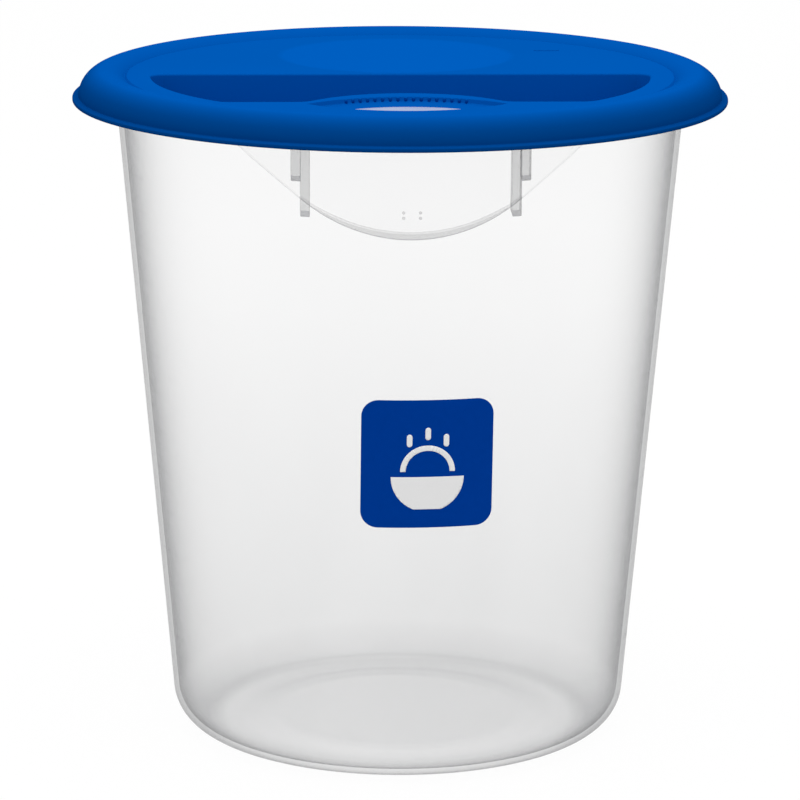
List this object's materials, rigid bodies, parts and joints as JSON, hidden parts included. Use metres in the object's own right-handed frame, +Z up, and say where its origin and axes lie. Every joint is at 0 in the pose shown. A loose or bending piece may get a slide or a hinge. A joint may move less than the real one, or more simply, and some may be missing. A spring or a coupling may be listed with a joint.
{
  "type": "dough proofing container",
  "caption": "Round tapered clear plastic tub with moulded hand grips, measuring marks and a label, closed by a press-on lid with a half-moon pocket.",
  "frame": {"origin": "centre of the base, on the surface that the tub stands on", "axes": "+Z up along the tub's axis, -Y towards the front grip and the lid's pocket, +X to the right as seen from the front"},
  "size_m": [0.26, 0.26, 0.2686],
  "materials": {
    "clear_plastic": "clear, slightly milky polypropylene with a soft gloss",
    "blue_plastic": "satin moulded plastic, with a polished dish near the front",
    "label_film": "smooth printed film",
    "white_print": "smooth white ink"
  },
  "bodies": {
    "tub": {"container_body": "clear_plastic", "front_label": "label_film", "label_print": "white_print"},
    "lid": {"lid": "blue_plastic"}
  },
  "joints": [
    {"name": "lid_lift", "type": "slide", "parent": "tub", "child": "lid", "axis": [0, 0, 1], "range_m": [0, 0.06]}
  ]
}
